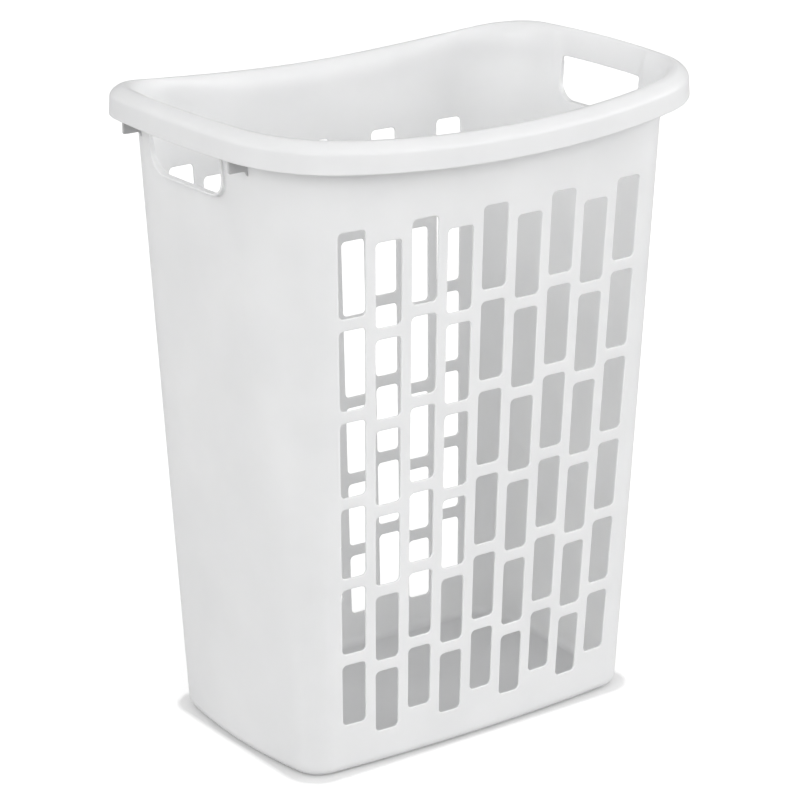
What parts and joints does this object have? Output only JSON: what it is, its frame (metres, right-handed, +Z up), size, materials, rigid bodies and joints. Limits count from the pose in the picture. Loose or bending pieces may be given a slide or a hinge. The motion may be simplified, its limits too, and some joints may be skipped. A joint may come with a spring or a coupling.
{
  "type": "laundry hamper",
  "caption": "Tall tapered open laundry hamper with slotted front and back walls, a saddle-shaped rolled rim and a hand hole under the rim at each end.",
  "frame": {"origin": "middle of the underside, on the ground", "axes": "+Z up out of the open mouth; +X along the long side, towards the right-hand grip; the front vented wall faces -Y"},
  "size_m": [0.5004, 0.33, 0.6083],
  "materials": {
    "white_polypropylene": "white moulded polypropylene, satin on the walls and a little glossier on the rolled rim"
  },
  "bodies": {
    "root": {"floor_pan": "white_polypropylene", "front_vent_wall": "white_polypropylene", "back_vent_wall": "white_polypropylene", "left_end_wall": "white_polypropylene", "right_end_wall": "white_polypropylene", "corner_wall_front_left": "white_polypropylene", "corner_wall_front_right": "white_polypropylene", "corner_wall_back_left": "white_polypropylene", "corner_wall_back_right": "white_polypropylene", "rim_front": "white_polypropylene", "rim_back": "white_polypropylene", "rim_grip_left": "white_polypropylene", "rim_grip_right": "white_polypropylene", "rim_corner_front_left": "white_polypropylene", "rim_corner_front_right": "white_polypropylene", "rim_corner_back_left": "white_polypropylene", "rim_corner_back_right": "white_polypropylene", "hand_hole_collar_left": "white_polypropylene", "hand_hole_collar_right": "white_polypropylene", "stacking_rib_front_left": "white_polypropylene", "stacking_rib_front_right": "white_polypropylene", "stacking_rib_back_left": "white_polypropylene", "stacking_rib_back_right": "white_polypropylene"}
  },
  "joints": []
}
